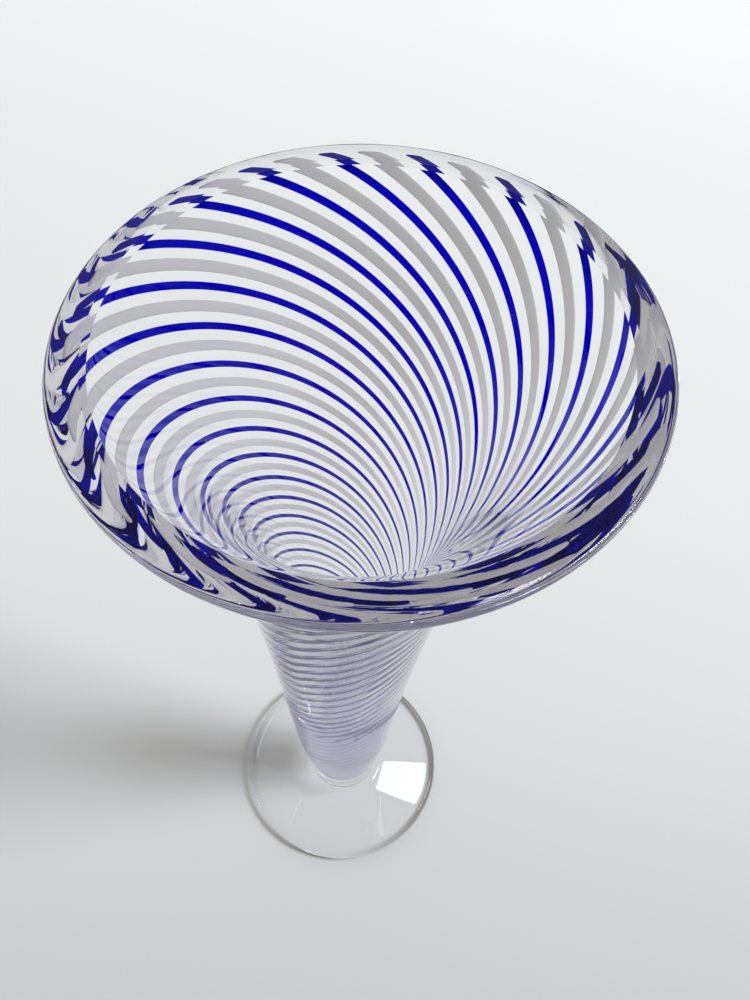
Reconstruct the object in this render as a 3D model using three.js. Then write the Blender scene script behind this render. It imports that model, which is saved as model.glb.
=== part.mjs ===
// Footed trumpet vase of clear blown glass with spiral blue and white canes in its wall
// Millimetres, +Z up, origin at the centre of the underside of the foot
import * as THREE from 'three';

// Overall sizes
const HEIGHT = 300;
const RIM_DIAMETER = 125;
const FOOT_DIAMETER = 90;

// Lip: a flat polished face that drops a little to the outside, with a narrow bevel at the mouth
const LIP_WALL = 8.4;
const LIP_DROP = 0.3;
const LIP_THICKNESS = 2.6;
const BEVEL_WIDTH = 1.4;
const BEVEL_DROP = 0.4;

// Outer wall: a straight cone that flares near the rim, measured down from the mouth
const CONE_TOP_RADIUS = 34.7;
const CONE_END_RADIUS = 19.9;
const FLARE_LENGTH = 41.5;
const FLARE_POWER = 1.165;

// Swell of the outside under the lip, and how deep it is fullest
const SWELL = 1.1;
const SWELL_DEPTH = 7.5;

// Wall of the body, measured level: it thickens from the lip down to the lower body
const LOWER_WALL = 13;
const WALL_BLEND = 88;

// Glass under the bore
const BORE_BOTTOM_THICKNESS = 10;

// Canes: rods that wind down the wall, faster the deeper they go, with angles in degrees
const CANE_PAIRS = 18;
const CANE_THICKNESS = 0.8;
const BLUE_CANE_ANGLE = 3.6;
const WHITE_CANE_ANGLE = 5.4;
const FIRST_CANE_ANGLE = 17.8;
const CANE_TURN_ANGLE = 474;
const TURN_BUILD_UP = 0.17;

// Plug of gathered cane ends: a length inside the body and a tip inside the stem
const PLUG_BODY_LENGTH = 44;
const PLUG_TIP_RADIUS = 11.3;
const PLUG_TIP_LENGTH = 35;
const PLUG_ROUNDING = 5;

// Stem and foot
const STEM_LENGTH = 38.4;
const STEM_END_RADIUS = 14.5;
const FOOT_BOSS_HEIGHT = 21;
const FOOT_DISC_RISE = 7;
const FOOT_EDGE_THICKNESS = 5.6;
const FOOT_FILLET = 5;

// Gap between pieces that are fused on the real vase
const SEAM = 0.3;

// Smoothness of the faceted solids
const ROUND_SEGMENTS = 40;
const WALL_STEPS = 11;
const PLUG_STEPS = 3;
const WALL_GRADING = 1.6;
const CANE_STEPS = 27;
const ARC_STEPS = 4;

const degrees = THREE.MathUtils.degToRad;
const rimRadius = RIM_DIAMETER / 2;
const stemBottom = FOOT_BOSS_HEIGHT + SEAM;
const stemTop = stemBottom + STEM_LENGTH;
const bodyBottom = stemTop + SEAM;
const plugTip = bodyBottom - PLUG_TIP_LENGTH;
const bodyLength = HEIGHT - bodyBottom;
const bubbleEnd = bodyLength - PLUG_BODY_LENGTH;
const boreDepth = bubbleEnd - BORE_BOTTOM_THICKNESS;
const caneTop = LIP_DROP + LIP_THICKNESS + SEAM;
const caneStep = (bubbleEnd - caneTop) / CANE_STEPS;

// Radii of the wall at a depth below the mouth
function coneRadius(depth) {
  return THREE.MathUtils.lerp(CONE_TOP_RADIUS, CONE_END_RADIUS, depth / bodyLength);
}

function outerRadius(depth) {
  const flare = rimRadius - coneRadius(LIP_DROP);
  const belowLip = Math.max(depth - LIP_DROP, 0);
  return coneRadius(depth) + flare * Math.exp(-((belowLip / FLARE_LENGTH) ** FLARE_POWER));
}

function skinRadius(depth) {
  const share = depth / SWELL_DEPTH;
  return outerRadius(depth) + SWELL * share * Math.exp(1 - share);
}

function wallThickness(depth) {
  const thinning = (LOWER_WALL - LIP_WALL) * Math.exp(-((depth / WALL_BLEND) ** 2));
  return LOWER_WALL - thinning;
}

function boreRadius(depth) {
  return outerRadius(depth) - wallThickness(depth);
}

function caneRadius(depth) {
  return (outerRadius(depth) + boreRadius(depth)) / 2;
}

// Angle of the canes at a depth, counted from the first cane at the mouth
function twistAngle(depth) {
  const share = depth / bubbleEnd;
  const turned = CANE_TURN_ANGLE * share * (1 - TURN_BUILD_UP + TURN_BUILD_UP * share ** 2);
  return degrees(FIRST_CANE_ANGLE - turned);
}

// A straight step of a cane cuts inside the curve that it follows by this much
function chordAllowance(depth) {
  const stepAngle = twistAngle(depth) - twistAngle(depth + caneStep);
  return caneRadius(depth) * (1 - Math.cos(stepAngle / 2));
}

function caneBedRadius(depth) {
  return caneRadius(depth) - CANE_THICKNESS / 2 - SEAM - chordAllowance(depth);
}

function caneCoverRadius(depth) {
  return caneRadius(depth) + CANE_THICKNESS / 2 + SEAM;
}

// Points of a wall curve from one depth to another, closer together near the rim
function wallCurve(radiusAt, fromDepth, toDepth, steps = WALL_STEPS) {
  const points = [];
  for (let i = 0; i <= steps; i += 1) {
    const depth = fromDepth + (toDepth - fromDepth) * (i / steps) ** WALL_GRADING;
    points.push(new THREE.Vector2(radiusAt(depth), HEIGHT - depth));
  }
  return points;
}

// Points of a circular arc in the profile plane
function arc(centreRadius, centreHeight, radius, fromAngle, toAngle) {
  const curve = new THREE.EllipseCurve(centreRadius, centreHeight, radius, radius,
    degrees(fromAngle), degrees(toAngle), toAngle < fromAngle);
  return curve.getPoints(ARC_STEPS);
}

const point = (radius, height) => new THREE.Vector2(radius, height);

// A turned solid: the profile runs up the outside and ends on the axis or at its own start
function turned(profile) {
  return new THREE.LatheGeometry(profile, ROUND_SEGMENTS).rotateX(Math.PI / 2);
}

function innerCasing() {
  const lipUnderside = LIP_DROP + LIP_THICKNESS;
  const outside = wallCurve(caneBedRadius, lipUnderside, bubbleEnd).reverse();
  const edgeRadius = LIP_THICKNESS / 2;
  const edge = arc(rimRadius - edgeRadius, HEIGHT - LIP_DROP - edgeRadius, edgeRadius, -30, 60);
  const endRadius = boreRadius(boreDepth);
  const inside = wallCurve(boreRadius, BEVEL_DROP, boreDepth - endRadius);
  const end = arc(0, HEIGHT - boreDepth + endRadius, endRadius, 0, -90);
  return turned([
    point(0, HEIGHT - bubbleEnd),
    ...outside,
    point(skinRadius(lipUnderside), HEIGHT - lipUnderside),
    ...edge,
    point(inside[0].x + BEVEL_WIDTH, HEIGHT),
    ...inside,
    ...end.slice(1, -1),
    point(0, HEIGHT - boreDepth),
  ]);
}

function outerCasing() {
  const outside = wallCurve(skinRadius, caneTop, bodyLength).reverse();
  const inside = wallCurve(caneCoverRadius, caneTop, bodyLength);
  return turned([...outside, ...inside, outside[0]]);
}

// A rod of four sides that keeps its share of the turn while the wall narrows
function cane(startAngle, widthAngle) {
  const halfAngle = degrees(widthAngle) / 2;
  const corners = [[-1, -1], [1, -1], [1, 1], [-1, 1]];
  const sides = corners.length;
  const positions = [];
  const triangles = [];
  for (let step = 0; step <= CANE_STEPS; step += 1) {
    const depth = bubbleEnd - step * caneStep;
    for (const [out, turn] of corners) {
      const radius = caneRadius(depth) + out * CANE_THICKNESS / 2;
      const angle = startAngle + twistAngle(depth) + turn * halfAngle;
      positions.push(radius * Math.cos(angle), radius * Math.sin(angle), HEIGHT - depth);
    }
  }
  for (let step = 0; step < CANE_STEPS; step += 1) {
    for (let side = 0; side < sides; side += 1) {
      const low = step * sides + side;
      const next = step * sides + (side + 1) % sides;
      triangles.push(low, next, next + sides, low, next + sides, low + sides);
    }
  }
  const last = CANE_STEPS * sides;
  triangles.push(0, 2, 1, 0, 3, 2, last, last + 1, last + 2, last, last + 2, last + 3);
  const geometry = new THREE.BufferGeometry();
  geometry.setAttribute('position', new THREE.Float32BufferAttribute(positions, 3));
  geometry.setIndex(triangles);
  return geometry;
}

function gatheredCaneEnds() {
  const plugRadius = (depth) => caneCoverRadius(depth) - SEAM;
  const top = bubbleEnd + SEAM;
  const rounding = arc(PLUG_TIP_RADIUS - PLUG_ROUNDING, plugTip + PLUG_ROUNDING, PLUG_ROUNDING, -90, 0);
  return turned([
    point(0, plugTip),
    ...rounding,
    point(PLUG_TIP_RADIUS, bodyBottom),
    ...wallCurve(plugRadius, top, bodyLength, PLUG_STEPS).reverse(),
    point(0, HEIGHT - top),
  ]);
}

function stem() {
  const recess = PLUG_TIP_RADIUS + SEAM;
  const rounding = arc(PLUG_TIP_RADIUS - PLUG_ROUNDING, plugTip + PLUG_ROUNDING,
    PLUG_ROUNDING + SEAM, 0, -90);
  return turned([
    point(0, stemBottom),
    point(STEM_END_RADIUS, stemBottom),
    point(CONE_END_RADIUS, stemTop),
    point(recess, stemTop),
    ...rounding,
    point(0, plugTip - SEAM),
  ]);
}

function foot() {
  const edgeRadius = FOOT_EDGE_THICKNESS / 2;
  const footRadius = FOOT_DIAMETER / 2;
  const edge = arc(footRadius - edgeRadius, edgeRadius, edgeRadius, -90, 75);
  const fillet = arc(STEM_END_RADIUS + FOOT_FILLET, FOOT_DISC_RISE + FOOT_FILLET, FOOT_FILLET, 260, 180);
  return turned([
    point(0, 0),
    ...edge,
    ...fillet,
    point(STEM_END_RADIUS, FOOT_BOSS_HEIGHT),
    point(0, FOOT_BOSS_HEIGHT),
  ]);
}

// Finishes
const glass = { color: 0xe9eff2, roughness: 0.04, metalness: 0, transparent: true, opacity: 0.35 };
const blue = { color: 0x1404a8, roughness: 0.08, metalness: 0 };
const white = { color: 0xd9d8dc, roughness: 0.12, metalness: 0 };
const lavender = { color: 0xb3b0c6, roughness: 0.12, metalness: 0 };

const vase = new THREE.Group();

function add(name, geometry, finish) {
  const mesh = new THREE.Mesh(geometry, new THREE.MeshStandardMaterial(finish));
  mesh.name = name;
  vase.add(mesh);
}

add('inner_casing', innerCasing(), glass);
add('outer_casing', outerCasing(), glass);
const pitch = 2 * Math.PI / CANE_PAIRS;
for (let i = 0; i < CANE_PAIRS; i += 1) {
  const number = String(i + 1).padStart(2, '0');
  add(`blue_cane_${number}`, cane(i * pitch, BLUE_CANE_ANGLE), blue);
  add(`white_cane_${number}`, cane((i + 0.5) * pitch, WHITE_CANE_ANGLE), white);
}
add('gathered_cane_ends', gatheredCaneEnds(), lavender);
add('stem', stem(), glass);
add('foot', foot(), glass);

export default vase;
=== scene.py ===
"""Looks of a footed trumpet vase: thick clear glass with spiral blue and white canes in its wall."""
import math

import bpy
from mathutils import Matrix, Vector


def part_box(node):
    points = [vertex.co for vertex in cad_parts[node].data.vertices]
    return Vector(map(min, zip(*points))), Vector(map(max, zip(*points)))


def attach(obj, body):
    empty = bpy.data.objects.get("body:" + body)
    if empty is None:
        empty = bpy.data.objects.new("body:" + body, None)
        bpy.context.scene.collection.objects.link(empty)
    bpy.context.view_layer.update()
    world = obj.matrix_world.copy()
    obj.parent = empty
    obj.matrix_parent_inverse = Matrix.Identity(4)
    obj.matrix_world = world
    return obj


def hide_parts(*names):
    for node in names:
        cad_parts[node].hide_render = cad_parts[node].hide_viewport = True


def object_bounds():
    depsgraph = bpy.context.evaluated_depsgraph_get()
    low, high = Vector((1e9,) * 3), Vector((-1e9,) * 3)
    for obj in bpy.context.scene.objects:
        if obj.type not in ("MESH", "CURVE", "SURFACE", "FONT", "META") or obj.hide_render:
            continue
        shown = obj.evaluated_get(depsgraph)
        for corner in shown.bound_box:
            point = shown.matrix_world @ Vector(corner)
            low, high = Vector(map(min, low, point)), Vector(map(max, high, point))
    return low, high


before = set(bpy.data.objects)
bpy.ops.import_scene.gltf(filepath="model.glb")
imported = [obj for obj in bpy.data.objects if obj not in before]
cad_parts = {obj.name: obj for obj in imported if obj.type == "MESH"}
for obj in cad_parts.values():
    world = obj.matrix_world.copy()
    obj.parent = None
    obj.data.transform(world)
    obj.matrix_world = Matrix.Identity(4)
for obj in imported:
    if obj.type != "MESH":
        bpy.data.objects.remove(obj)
cad_low, cad_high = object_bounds()

# Sizes in metres, read from the frame or the same as in the CAD model
MM = 0.001
_, foot_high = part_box("foot")
_, stem_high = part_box("stem")
casing_low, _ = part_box("outer_casing")
bubble_low, bubble_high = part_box("inner_casing")
plug_low, plug_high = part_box("gathered_cane_ends")

HEIGHT = cad_high.z
RIM_RADIUS = bubble_high.x
FOOT_RADIUS = foot_high.x
STEM_TOP_RADIUS = stem_high.x
BODY_LENGTH = HEIGHT - casing_low.z
BUBBLE_LENGTH = HEIGHT - bubble_low.z

LIP_WALL = 8.4 * MM
LIP_DROP = 0.3 * MM
LIP_EDGE_RADIUS = 1.3 * MM
BEVEL_WIDTH = 1.4 * MM
BEVEL_DROP = 0.4 * MM
CONE_TOP_RADIUS = 34.7 * MM
FLARE_LENGTH = 41.5 * MM
FLARE_POWER = 1.165
SWELL = 1.1 * MM
SWELL_DEPTH = 7.5 * MM
LOWER_WALL = 13 * MM
WALL_BLEND = 88 * MM
BORE_BOTTOM_THICKNESS = 10 * MM
PLUG_TIP_RADIUS = 11.3 * MM
PLUG_ROUNDING = 5 * MM
STEM_END_RADIUS = 14.5 * MM
FOOT_DISC_RISE = 7 * MM
FOOT_EDGE_THICKNESS = 5.6 * MM
FOOT_FILLET = 5 * MM
BORE_DEPTH = BUBBLE_LENGTH - BORE_BOTTOM_THICKNESS

# Short slope on which the plug steps in from the body to its tip
PLUG_NECK_DROP = 1 * MM

# Ends of the round stretches of the profile, in degrees
LIP_EDGE_ARC = (-30, 85)
FOOT_EDGE_ARC = (-90, 75)
FILLET_ARC = (260, 180)
BORE_END_ARC = (0, -90)
PLUG_TIP_ARC = (-90, 0)

# Canes, with angles in degrees
CANE_PAIRS = 18
CANE_THICKNESS = 0.8 * MM
CANE_COVER = 0.25 * MM
CANE_SQUARENESS = 0.5
BLUE_CANE_ANGLE = 3.6
WHITE_CANE_ANGLE = 5.4
FIRST_CANE_ANGLE = 17.8
CANE_TURN_ANGLE = 474
TURN_BUILD_UP = 0.17
SIDEWAYS_ANGLE = 1.4
OVAL_ANGLE = 2.2
OVAL_PHASE = -56

# The hand-made mouth leans a little and the body bows a little to one side
LEAN = 0.0336
LEAN_DIRECTION = math.radians(26)
LEAN_FADE = 44 * MM
BOW = -1.5 * MM

# Fineness of the meshes
ROUND_SEGMENTS = 192
PLUG_SEGMENTS = 96
CANE_STEPS = 220
CANE_SIDES = 16
WALL_STEPS = 90
WALL_GRADING = 1.5
PLUG_STEPS = 12
FOOT_STEPS = 12
DISC_STEPS = 10
ROUNDING_STEPS = 10
LIP_FACE_STEPS = 8
BEVEL_STEPS = 3


# Wall of the body at a depth below the mouth
def cone_radius(depth):
    return CONE_TOP_RADIUS + (STEM_TOP_RADIUS - CONE_TOP_RADIUS) * depth / BODY_LENGTH


def outer_radius(depth):
    flare = RIM_RADIUS - cone_radius(LIP_DROP)
    below = max(depth - LIP_DROP, 0) / FLARE_LENGTH
    return cone_radius(depth) + flare * math.exp(-(below ** FLARE_POWER))


def skin_radius(depth):
    """The outside of the glass, which swells a little under the lip."""
    share = depth / SWELL_DEPTH
    return outer_radius(depth) + SWELL * share * math.exp(1 - share)


def wall_thickness(depth):
    return LOWER_WALL - (LOWER_WALL - LIP_WALL) * math.exp(-((depth / WALL_BLEND) ** 2))


def bore_radius(depth):
    return outer_radius(depth) - wall_thickness(depth)


def cane_radius(depth):
    return (outer_radius(depth) + bore_radius(depth)) / 2


def plug_radius(depth):
    return cane_radius(depth) + CANE_THICKNESS / 2


def twist_angle(depth):
    share = depth / BUBBLE_LENGTH
    turned_angle = CANE_TURN_ANGLE * share * (1 - TURN_BUILD_UP + TURN_BUILD_UP * share ** 2)
    return math.radians(FIRST_CANE_ANGLE - turned_angle)


def hand_made(x, y, z):
    """Moves a point of the true turned shape to where the lean and the bow put it."""
    depth = HEIGHT - z
    fade = math.exp(-max(depth, 0) / LEAN_FADE)
    towards = x * math.cos(LEAN_DIRECTION) + y * math.sin(LEAN_DIRECTION)
    along = min(max(depth / HEIGHT, 0), 1)
    return x + BOW * math.sin(math.pi * along), y, z + LEAN * towards * fade


# Profiles and meshes
def arc(centre_r, centre_z, radius, ends, steps):
    """Profile points on a circular arc between two angles in degrees."""
    start, end = ends
    angles = [math.radians(start + (end - start) * i / steps) for i in range(steps + 1)]
    return [(centre_r + radius * math.cos(a), centre_z + radius * math.sin(a)) for a in angles]


def line(start, end, steps):
    """Profile points on a straight line, without its end."""
    shares = [i / steps for i in range(steps)]
    return [(start[0] + (end[0] - start[0]) * s, start[1] + (end[1] - start[1]) * s) for s in shares]


def wall_curve(radius_at, start, end, steps):
    """Profile points of a wall between two depths, closer together near the rim."""
    shares = [(i / steps) ** WALL_GRADING for i in range(steps + 1)]
    depths = [start + (end - start) * s for s in shares]
    return [(radius_at(d), HEIGHT - d) for d in depths]


def make_object(name, vertices, faces, material, smooth=True):
    mesh = bpy.data.meshes.new(name)
    mesh.from_pydata(vertices, [], faces)
    mesh.validate()
    mesh.polygons.foreach_set("use_smooth", [smooth] * len(mesh.polygons))
    mesh.materials.append(material)
    obj = bpy.data.objects.new(name, mesh)
    bpy.context.scene.collection.objects.link(obj)
    return obj


def turned(name, profile, material, segments, creases=()):
    """A closed turned solid: the profile starts and ends on the axis and runs up the outside."""
    (_, first_z), *rings, (_, last_z) = profile
    vertices = [hand_made(0, 0, first_z)]
    for r, z in rings:
        for i in range(segments):
            angle = 2 * math.pi * i / segments
            vertices.append(hand_made(r * math.cos(angle), r * math.sin(angle), z))
    vertices.append(hand_made(0, 0, last_z))
    faces = []
    for i in range(segments):
        after = (i + 1) % segments
        faces.append((0, 1 + after, 1 + i))
        for ring in range(len(rings) - 1):
            low, high = 1 + ring * segments, 1 + (ring + 1) * segments
            faces.append((low + i, low + after, high + after, high + i))
        top = 1 + (len(rings) - 1) * segments
        faces.append((top + i, top + after, len(vertices) - 1))
    obj = make_object(name, vertices, faces, material)
    crease_rings = {rings.index(point) for point in creases}
    for edge in obj.data.edges:
        a, b = ((v - 1) // segments for v in edge.vertices)
        if a == b and a in crease_rings:
            edge.use_edge_sharp = True
    return obj


def glass_body(material):
    """The fused clear glass: out along the underside, up to the lip, over it and down the bore."""
    edge = FOOT_EDGE_THICKNESS / 2
    underside = line((0, 0), (FOOT_RADIUS - edge, 0), FOOT_STEPS)
    foot_edge = arc(FOOT_RADIUS - edge, edge, edge, FOOT_EDGE_ARC, FOOT_STEPS)
    fillet_height = FOOT_DISC_RISE + FOOT_FILLET
    fillet = arc(STEM_END_RADIUS + FOOT_FILLET, fillet_height, FOOT_FILLET, FILLET_ARC, FOOT_STEPS)
    disc = line(foot_edge[-1], fillet[0], DISC_STEPS)[1:]
    stem = line(fillet[-1], (STEM_TOP_RADIUS, HEIGHT - BODY_LENGTH), FOOT_STEPS)[1:]
    outside = wall_curve(skin_radius, LIP_DROP + 2 * LIP_EDGE_RADIUS, BODY_LENGTH, WALL_STEPS)[::-1]
    lip_edge = arc(RIM_RADIUS - LIP_EDGE_RADIUS, HEIGHT - LIP_DROP - LIP_EDGE_RADIUS,
                   LIP_EDGE_RADIUS, LIP_EDGE_ARC, ROUNDING_STEPS)
    end_radius = bore_radius(BORE_DEPTH)
    inside = wall_curve(bore_radius, BEVEL_DROP, BORE_DEPTH - end_radius, WALL_STEPS)
    bevel_inner = inside[0]
    bevel_outer = (bevel_inner[0] + BEVEL_WIDTH, HEIGHT)
    face = line(lip_edge[-1], bevel_outer, LIP_FACE_STEPS)[1:]
    bevel = line(bevel_outer, bevel_inner, BEVEL_STEPS)
    end = arc(0, HEIGHT - BORE_DEPTH + end_radius, end_radius, BORE_END_ARC, ROUNDING_STEPS)[1:-1]
    bottom = (0, HEIGHT - BORE_DEPTH)
    profile = underside + foot_edge + disc + fillet + stem + outside
    profile += lip_edge + face + bevel + inside + end + [bottom]
    return turned("clear_glass_body", profile, material, ROUND_SEGMENTS, (bevel_outer, bevel_inner))


def rounded(value):
    """Squares up a sine or cosine, so that a section is a flat bar with round corners."""
    return math.copysign(abs(value) ** CANE_SQUARENESS, value)


def uneven_angle(place):
    """How far a hand-laid cane stands from its even place."""
    oval = OVAL_ANGLE * math.sin(2 * place + math.radians(OVAL_PHASE))
    return math.radians(SIDEWAYS_ANGLE * math.sin(place) + oval)


def cane(name, place, width_angle, material):
    """A flat rod that winds down the middle of the wall and narrows with it."""
    half = math.radians(width_angle) / 2
    top = LIP_DROP / 2 + CANE_COVER
    vertices, faces = [], []
    for step in range(CANE_STEPS + 1):
        depth = BUBBLE_LENGTH + (top - BUBBLE_LENGTH) * step / CANE_STEPS
        thickness = CANE_THICKNESS * cane_radius(depth) / cane_radius(top)
        for side in range(CANE_SIDES):
            turn = 2 * math.pi * (side + 0.5) / CANE_SIDES
            radius = cane_radius(depth) + thickness / 2 * rounded(math.sin(turn))
            angle = place + uneven_angle(place) + twist_angle(depth) - half * rounded(math.cos(turn))
            vertices.append(hand_made(radius * math.cos(angle), radius * math.sin(angle), HEIGHT - depth))
    for step in range(CANE_STEPS):
        for side in range(CANE_SIDES):
            low = step * CANE_SIDES + side
            after = step * CANE_SIDES + (side + 1) % CANE_SIDES
            faces.append((low, after, after + CANE_SIDES, low + CANE_SIDES))
    faces.append(tuple(range(CANE_SIDES))[::-1])
    faces.append(tuple(range(CANE_STEPS * CANE_SIDES, (CANE_STEPS + 1) * CANE_SIDES)))
    return make_object(name, vertices, faces, material)


def plug(material):
    """The gathered cane ends: a length that fills the body and a round-ended tip in the stem."""
    tip = plug_low.z
    rounding = arc(PLUG_TIP_RADIUS - PLUG_ROUNDING, tip + PLUG_ROUNDING, PLUG_ROUNDING,
                   PLUG_TIP_ARC, ROUNDING_STEPS)[1:]
    neck = (PLUG_TIP_RADIUS, HEIGHT - BODY_LENGTH - PLUG_NECK_DROP)
    sides = wall_curve(plug_radius, HEIGHT - plug_high.z, BODY_LENGTH, PLUG_STEPS)[::-1]
    profile = [(0, tip)] + rounding + [neck] + sides + [(0, plug_high.z)]
    return turned("gathered_cane_ends_glass", profile, material, PLUG_SEGMENTS)


# Parts of node materials
def new_material(name):
    material = bpy.data.materials.new(name)
    material.use_nodes = True
    tree = material.node_tree
    tree.nodes.clear()
    return material, tree


def add_node(tree, kind, **inputs):
    """A new node with plain values on some of its sockets."""
    node = tree.nodes.new(kind)
    for socket, value in inputs.items():
        node.inputs[socket.replace("_", " ")].default_value = value
    return node


def output_from(tree, shader):
    output = add_node(tree, "ShaderNodeOutputMaterial")
    tree.links.new(shader.outputs[0], output.inputs["Surface"])
    return output


def mixed(tree, factor, first, second):
    """A mix of two shaders, by a plain factor or a socket."""
    mix = add_node(tree, "ShaderNodeMixShader")
    if isinstance(factor, (int, float)):
        mix.inputs[0].default_value = factor
    else:
        tree.links.new(factor, mix.inputs[0])
    tree.links.new(first.outputs[0], mix.inputs[1])
    tree.links.new(second.outputs[0], mix.inputs[2])
    return mix


def object_place(tree):
    """The place on the object, whole and in its three parts."""
    place = add_node(tree, "ShaderNodeTexCoord").outputs["Object"]
    parts = add_node(tree, "ShaderNodeSeparateXYZ")
    tree.links.new(place, parts.inputs[0])
    return place, parts.outputs


def noise_texture(tree, coordinates, scale, detail):
    texture = add_node(tree, "ShaderNodeTexNoise", Scale=scale, Detail=detail)
    tree.links.new(coordinates, texture.inputs["Vector"])
    return texture.outputs[0]


def calculated(tree, operation, *values, clamp=False):
    """A Math node on sockets and plain numbers."""
    node = add_node(tree, "ShaderNodeMath")
    node.operation = operation
    node.use_clamp = clamp
    for socket, value in zip(node.inputs, values):
        if isinstance(value, (int, float)):
            socket.default_value = value
        else:
            tree.links.new(value, socket)
    return node.outputs[0]


def mapped(tree, value, source, target=(0, 1)):
    """Maps a value from one range to another, and holds it at the ends."""
    node = add_node(tree, "ShaderNodeMapRange", From_Min=source[0], From_Max=source[1],
                    To_Min=target[0], To_Max=target[1])
    tree.links.new(value, node.inputs["Value"])
    return node.outputs[0]


def stops_over(tree, value, places, colours):
    """A colour that runs through two or more stops."""
    ramp = add_node(tree, "ShaderNodeValToRGB")
    elements = ramp.color_ramp.elements
    while len(elements) < len(places):
        elements.new(1)
    for element, place, colour in zip(elements, places, colours):
        element.position = place
        element.color = (*colour, 1)
    tree.links.new(value, ramp.inputs[0])
    return ramp.outputs[0]


# Clear glass, a little wavy, with a faint uneven tint
GLASS_IOR = 1.5
REFLECTION_TINT = (0.3, 0.3, 0.3, 1)
WAVE_SCALE = 38
WAVE_DETAIL = 1
WAVE_HEIGHT = 0.25 * MM
WAVE_STRENGTH = 0.25
TINT_SCALE = 90
TINT_DETAIL = 4
TINT_COLOURS = ((0.99, 0.993, 0.995), (1.0, 1.0, 1.0))

# Light that goes straight through the glass, by how far the face turns away from it
PASSING_PLACES = (0, 0.5, 0.8, 1)
PASSING_COLOURS = [(share, share, share) for share in (1, 0.96, 0.6, 0.1)]
# The round edge of the foot bends more of it aside; the rim is told from it by its height
EDGE_BEND = 4
EDGE_LEVEL = -0.1


def bent_aside(tree, parts):
    """How far a face turns away from the light, with more at the round edge of the foot."""
    level = add_node(tree, "ShaderNodeCombineXYZ")
    for axis in "XY":
        tree.links.new(parts[axis], level.inputs[axis])
    radius = add_node(tree, "ShaderNodeVectorMath")
    radius.operation = "LENGTH"
    tree.links.new(level.outputs[0], radius.inputs[0])
    reach = calculated(tree, "MULTIPLY_ADD", parts["Z"], EDGE_LEVEL, radius.outputs["Value"])
    bend = mapped(tree, reach, (FOOT_RADIUS - FOOT_EDGE_THICKNESS / 2, FOOT_RADIUS), (1, EDGE_BEND))
    facing = add_node(tree, "ShaderNodeLayerWeight").outputs["Facing"]
    return calculated(tree, "MULTIPLY", facing, bend, clamp=True)


def clear_glass():
    """Blown glass that bends what is seen through it and lets shadow and scattered light pass."""
    material, tree = new_material("clear_glass")
    place, parts = object_place(tree)
    surface = add_node(tree, "ShaderNodeBsdfPrincipled", IOR=GLASS_IOR, Transmission_Weight=1.0,
                       Roughness=0.0, Specular_Tint=REFLECTION_TINT)
    unevenness = noise_texture(tree, place, TINT_SCALE, TINT_DETAIL)
    tree.links.new(stops_over(tree, unevenness, (0, 1), TINT_COLOURS), surface.inputs["Base Color"])
    bump = add_node(tree, "ShaderNodeBump", Strength=WAVE_STRENGTH, Distance=WAVE_HEIGHT)
    tree.links.new(noise_texture(tree, place, WAVE_SCALE, WAVE_DETAIL), bump.inputs["Height"])
    tree.links.new(bump.outputs[0], surface.inputs["Normal"])
    passing = add_node(tree, "ShaderNodeBsdfTransparent")
    shares = stops_over(tree, bent_aside(tree, parts), PASSING_PLACES, PASSING_COLOURS)
    tree.links.new(shares, passing.inputs["Color"])
    ray = add_node(tree, "ShaderNodeLightPath")
    scattered = mixed(tree, ray.outputs["Is Diffuse Ray"], surface, passing)
    output_from(tree, mixed(tree, ray.outputs["Is Shadow Ray"], scattered, passing))
    return material


# Cane glass: faint streaks, a share of light scattered to the front, and zones by depth
STREAK_SCALE = 260
STREAK_DETAIL = 3
STREAK_REACH = 0.01
FRONT_SHARE = 0.3
# Painted shade: light scattered back to the front is darker and more violet than light scattered through
FRONT_PAINTED_SHADE = (0.78, 0.77, 0.88)
CANE_ZONES = (0, 6 * MM, 60 * MM, 120 * MM, 190 * MM)
ZONES = len(CANE_ZONES)

# Lines in the plug, which carry on the blue canes at the pitch of their lower ends
LINE_RATE = math.radians(CANE_TURN_ANGLE) * (1 + 2 * TURN_BUILD_UP) / BUBBLE_LENGTH
LINE_PHASE = twist_angle(BUBBLE_LENGTH) - LINE_RATE * bubble_low.z
LINE_SHARPNESS = 2
LINE_FADE = 75 * MM
LINE_COLOUR = (0.36, 0.33, 0.72)

# Colours of the canes in each zone, and what the blue glass absorbs in a millimetre
BLUE_ABSORBED = (0.6, 0.8, 0.6)
# The first zone, at the lip, holds painted shade: its blue and its white are darker than the next zone's
BLUE_TINTS = ((0.01, 0.0, 0.6), (0.03, 0.0, 0.9), (0.12, 0.06, 0.76), (0.36, 0.33, 0.7),
              (0.68, 0.67, 0.82))
BLUE_SCATTER = [(0.01, 0.0, 0.15)] + [(0.015, 0.0, 0.32)] * (ZONES - 1)
BLUE_MILK = [0.1] * ZONES
WHITE_TINTS = [(0.98, 0.98, 0.98)] * ZONES
WHITE_SCATTER = ((0.68, 0.67, 0.68), (0.755, 0.742, 0.73), (0.9, 0.888, 0.88), (0.93, 0.915, 0.935),
                 (0.95, 0.93, 0.98))
WHITE_MILK = (0.75, 0.75, 0.7, 0.5, 0.4)
LAVENDER_TINTS = [(0.7, 0.68, 0.78)] * ZONES
LAVENDER_SCATTER = [(0.8, 0.78, 0.9)] * ZONES
LAVENDER_MILK = [0.5] * ZONES


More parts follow.
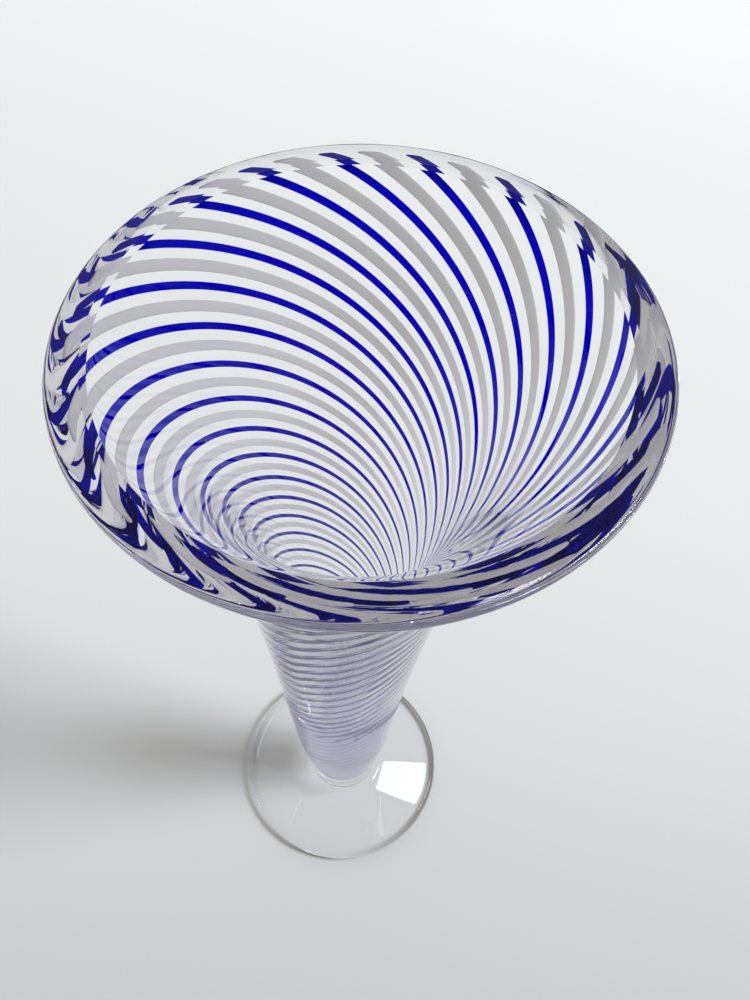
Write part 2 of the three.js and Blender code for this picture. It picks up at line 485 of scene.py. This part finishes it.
def spiral_lines(tree, parts):
    """Marks where the blue canes run on into the plug, fading towards its tip."""
    angle = calculated(tree, "ARCTAN2", parts["Y"], parts["X"])
    turned_back = calculated(tree, "MULTIPLY_ADD", parts["Z"], -LINE_RATE, angle)
    from_line = calculated(tree, "SUBTRACT", turned_back, LINE_PHASE)
    wave = calculated(tree, "COSINE", calculated(tree, "MULTIPLY", from_line, CANE_PAIRS))
    crest = calculated(tree, "POWER", calculated(tree, "MAXIMUM", wave, 0), LINE_SHARPNESS)
    fade = mapped(tree, parts["Z"], (plug_high.z - LINE_FADE, plug_high.z))
    return calculated(tree, "MULTIPLY", crest, fade)


def cane_glass(name, tints, scatter, milk, absorbed=None, lined=False):
    """Coloured glass of the wall's own index, with a tint, a scattered colour and a milkiness by zone."""
    material, tree = new_material(name)
    place, parts = object_place(tree)
    depth = mapped(tree, parts["Z"], (HEIGHT, HEIGHT - CANE_ZONES[-1]))
    streaks = noise_texture(tree, place, STREAK_SCALE, STREAK_DETAIL)
    streak = mapped(tree, streaks, (0, 1), (-STREAK_REACH, STREAK_REACH))
    zone = calculated(tree, "ADD", depth, streak, clamp=True)
    places = [zone_depth / CANE_ZONES[-1] for zone_depth in CANE_ZONES]
    passing = add_node(tree, "ShaderNodeBsdfTransparent")
    tree.links.new(stops_over(tree, zone, places, tints), passing.inputs["Color"])
    front = add_node(tree, "ShaderNodeBsdfDiffuse")
    back = add_node(tree, "ShaderNodeBsdfTranslucent")
    # The front colours carry the painted violet shade
    front_scatter_with_painted_shade = [[c * t for c, t in zip(colour, FRONT_PAINTED_SHADE)] for colour in scatter]
    for shader, colours in ((front, front_scatter_with_painted_shade), (back, scatter)):
        colour = stops_over(tree, zone, places, colours)
        if lined:
            blend = add_node(tree, "ShaderNodeMixRGB", Color2=(*LINE_COLOUR, 1))
            tree.links.new(spiral_lines(tree, parts), blend.inputs["Fac"])
            tree.links.new(colour, blend.inputs["Color1"])
            colour = blend.outputs[0]
        tree.links.new(colour, shader.inputs["Color"])
    milk_share = stops_over(tree, zone, places, [(share, share, share) for share in milk])
    output = output_from(tree, mixed(tree, milk_share, passing, mixed(tree, FRONT_SHARE, back, front)))
    if absorbed:
        strongest = max(absorbed)
        kept = [1 - share / strongest for share in absorbed]
        inside = add_node(tree, "ShaderNodeVolumeAbsorption", Color=(*kept, 1), Density=strongest / MM)
        tree.links.new(inside.outputs[0], output.inputs["Volume"])
    return material


# The vase: one fused clear body, the canes sealed in it and the plug of their ends
body = glass_body(clear_glass())
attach(body, "root")
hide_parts("inner_casing", "outer_casing", "stem", "foot")

blue = cane_glass("blue_cane_glass", BLUE_TINTS, BLUE_SCATTER, BLUE_MILK, BLUE_ABSORBED)
white = cane_glass("white_cane_glass", WHITE_TINTS, WHITE_SCATTER, WHITE_MILK)
pitch = 2 * math.pi / CANE_PAIRS
kinds = (("blue", 0, BLUE_CANE_ANGLE, blue), ("white", 0.5, WHITE_CANE_ANGLE, white))
for i in range(CANE_PAIRS):
    for colour, offset, width, material in kinds:
        node = f"{colour}_cane_{i + 1:02d}"
        piece = cane(node + "_strand", (i + offset) * pitch, width, material)
        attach(piece, "root")
        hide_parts(node)

core = plug(cane_glass("lavender_glass", LAVENDER_TINTS, LAVENDER_SCATTER, LAVENDER_MILK, lined=True))
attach(core, "root")
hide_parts("gathered_cane_ends")

# Floor, pale, with painted shade that darkens its colour from the back towards the camera
FLOOR_HALF = 3.0
FLOOR_DROP = 0.3 * MM
FLOOR_NEAR, FLOOR_FAR = -0.1, 0.7
FLOOR_PLACES = (0, 0.17, 0.32, 0.66, 1)
FLOOR_TINT = (0.99, 1, 1.01)
FLOOR_COLOURS_WITH_PAINTED_SHADE = [[c * share for c in FLOOR_TINT] for share in (0.53, 0.64, 0.69, 0.73, 0.8)]


def floor_with_painted_shade():
    material, tree = new_material("floor_with_painted_shade")
    _, parts = object_place(tree)
    # Painted shade: the floor's colour gets darker from the back towards the camera
    back = mapped(tree, parts["Y"], (FLOOR_NEAR, FLOOR_FAR))
    surface = add_node(tree, "ShaderNodeBsdfDiffuse")
    tree.links.new(stops_over(tree, back, FLOOR_PLACES, FLOOR_COLOURS_WITH_PAINTED_SHADE), surface.inputs["Color"])
    output_from(tree, surface)
    return material


corners = [(FLOOR_HALF * x, FLOOR_HALF * y, 0) for x, y in ((-1, -1), (1, -1), (1, 1), (-1, 1))]
floor = make_object("floor", corners, [(0, 1, 2, 3)], floor_with_painted_shade(), smooth=False)
floor.location.z = -FLOOR_DROP

# Room light: bright above and behind, darker low down and on the side of the camera
ROOM_STRENGTH = 0.68
ROOM_COLOURS = ((0.3, 0.3, 0.295), (1.0, 0.97, 0.87))
ROOM_FADE = (0.15, 0.75)
BRIGHT_SIDE = (0.2, 0.3, 0.93)

# A large window on the right, and a small one that only gleams on the glass
WINDOW = {"place": (5.7, -0.16, 5.7), "target": (0, 0, 0.1), "size": (2.4, 2.4),
          "power": 670, "colour": (0.85, 0.91, 0.98)}
GLEAM = {"place": (0.58, 0.63, 2.78), "target": (0, 0.63, 0), "size": (0.34, 0.36),
         "power": 12, "colour": (1, 1, 1)}

scene = bpy.context.scene


def room_light():
    world = bpy.data.worlds.new("studio")
    world.use_nodes = True
    tree = world.node_tree
    background = tree.nodes["Background"]
    background.inputs["Strength"].default_value = ROOM_STRENGTH
    towards = add_node(tree, "ShaderNodeVectorMath")
    towards.operation = "DOT_PRODUCT"
    towards.inputs[1].default_value = BRIGHT_SIDE
    direction = add_node(tree, "ShaderNodeTexCoord").outputs["Generated"]
    tree.links.new(direction, towards.inputs[0])
    share = mapped(tree, towards.outputs["Value"], ROOM_FADE)
    tree.links.new(stops_over(tree, share, (0, 1), ROOM_COLOURS), background.inputs["Color"])
    return world


def area_lamp(name, place, target, size, power, colour):
    data = bpy.data.lights.new(name, "AREA")
    data.shape = "RECTANGLE"
    data.size, data.size_y = size
    data.energy = power
    data.color = colour
    lamp = bpy.data.objects.new(name, data)
    scene.collection.objects.link(lamp)
    lamp.location = place
    lamp.rotation_euler = (Vector(target) - lamp.location).to_track_quat("-Z", "Y").to_euler()
    return lamp


scene.world = room_light()
area_lamp("window", **WINDOW)
gleam = area_lamp("gleam", **GLEAM)
gleam.visible_diffuse = False

# Camera, placed in rim radii from the middle of the mouth
FOCAL_PIXELS = 850
IMAGE_HEIGHT = 1000
SENSOR = 36
CLIP_START = 0.01
CAMERA_BACK = 1.902
CAMERA_UP = 1.993
PITCH, ROLL, YAW = math.radians(57.09), math.radians(-4.73), math.radians(-2.43)


def photo_camera():
    data = bpy.data.cameras.new("camera")
    data.sensor_width = SENSOR
    data.lens = SENSOR * FOCAL_PIXELS / IMAGE_HEIGHT
    data.clip_start = CLIP_START
    camera = bpy.data.objects.new("camera", data)
    scene.collection.objects.link(camera)
    turn = Matrix.Rotation(YAW, 3, "Z")
    forward = turn @ Vector((0, math.cos(PITCH), -math.sin(PITCH)))
    right = turn @ Vector((1, 0, 0))
    down = forward.cross(right)
    tilted_right = math.cos(ROLL) * right + math.sin(ROLL) * down
    tilted_down = math.cos(ROLL) * down - math.sin(ROLL) * right
    axes = Matrix((tilted_right, -tilted_down, -forward)).transposed()
    eye = Vector((0, -CAMERA_BACK * RIM_RADIUS, HEIGHT - LIP_DROP + CAMERA_UP * RIM_RADIUS))
    camera.matrix_world = Matrix.Translation(eye) @ axes.to_4x4()
    return camera


scene.camera = photo_camera()
scene.view_settings.view_transform = "Standard"

# The lip turns light back many times before it leaves the glass
LIGHT_BOUNCES = 96
TRANSPARENT_BOUNCES = 256
scene.cycles.max_bounces = LIGHT_BOUNCES
scene.cycles.transmission_bounces = LIGHT_BOUNCES
scene.cycles.glossy_bounces = LIGHT_BOUNCES
scene.cycles.transparent_max_bounces = TRANSPARENT_BOUNCES
